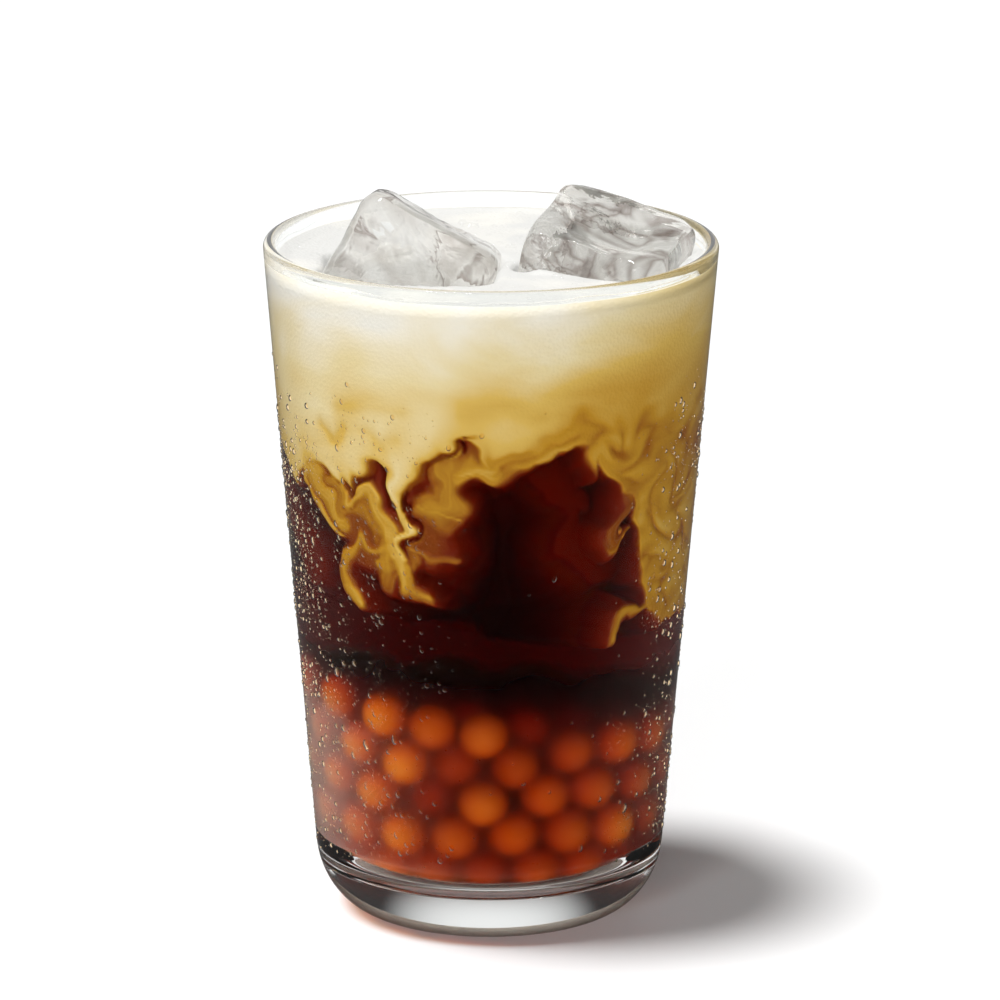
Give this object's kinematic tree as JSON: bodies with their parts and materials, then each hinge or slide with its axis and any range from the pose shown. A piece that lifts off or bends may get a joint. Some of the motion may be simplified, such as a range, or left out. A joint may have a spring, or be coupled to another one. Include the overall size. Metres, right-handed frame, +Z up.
{
  "type": "iced coffee",
  "caption": "Tall tapered glass tumbler of layered iced coffee: pale cream sinking in plumes into dark coffee, soft pearls at the bottom and melting ice cubes at the top.",
  "frame": {"origin": "middle of the tumbler's foot, on the surface it stands on", "axes": "+Z up along the tumbler's axis; the front of the drink, as the picture shows it, faces -Y"},
  "size_m": [0.0858, 0.0858, 0.1425],
  "materials": {
    "glass": "clear and polished",
    "cream": "soft and milky",
    "coffee": "dark clear liquid",
    "pearl": "glossy and translucent",
    "ice": "wet and clear"
  },
  "bodies": {
    "root": {"glass": "glass", "milk_cream": "cream", "coffee": "coffee", "pearl_bed": "pearl", "ice_cube_left": "ice", "ice_cube_right": "ice"}
  },
  "joints": []
}
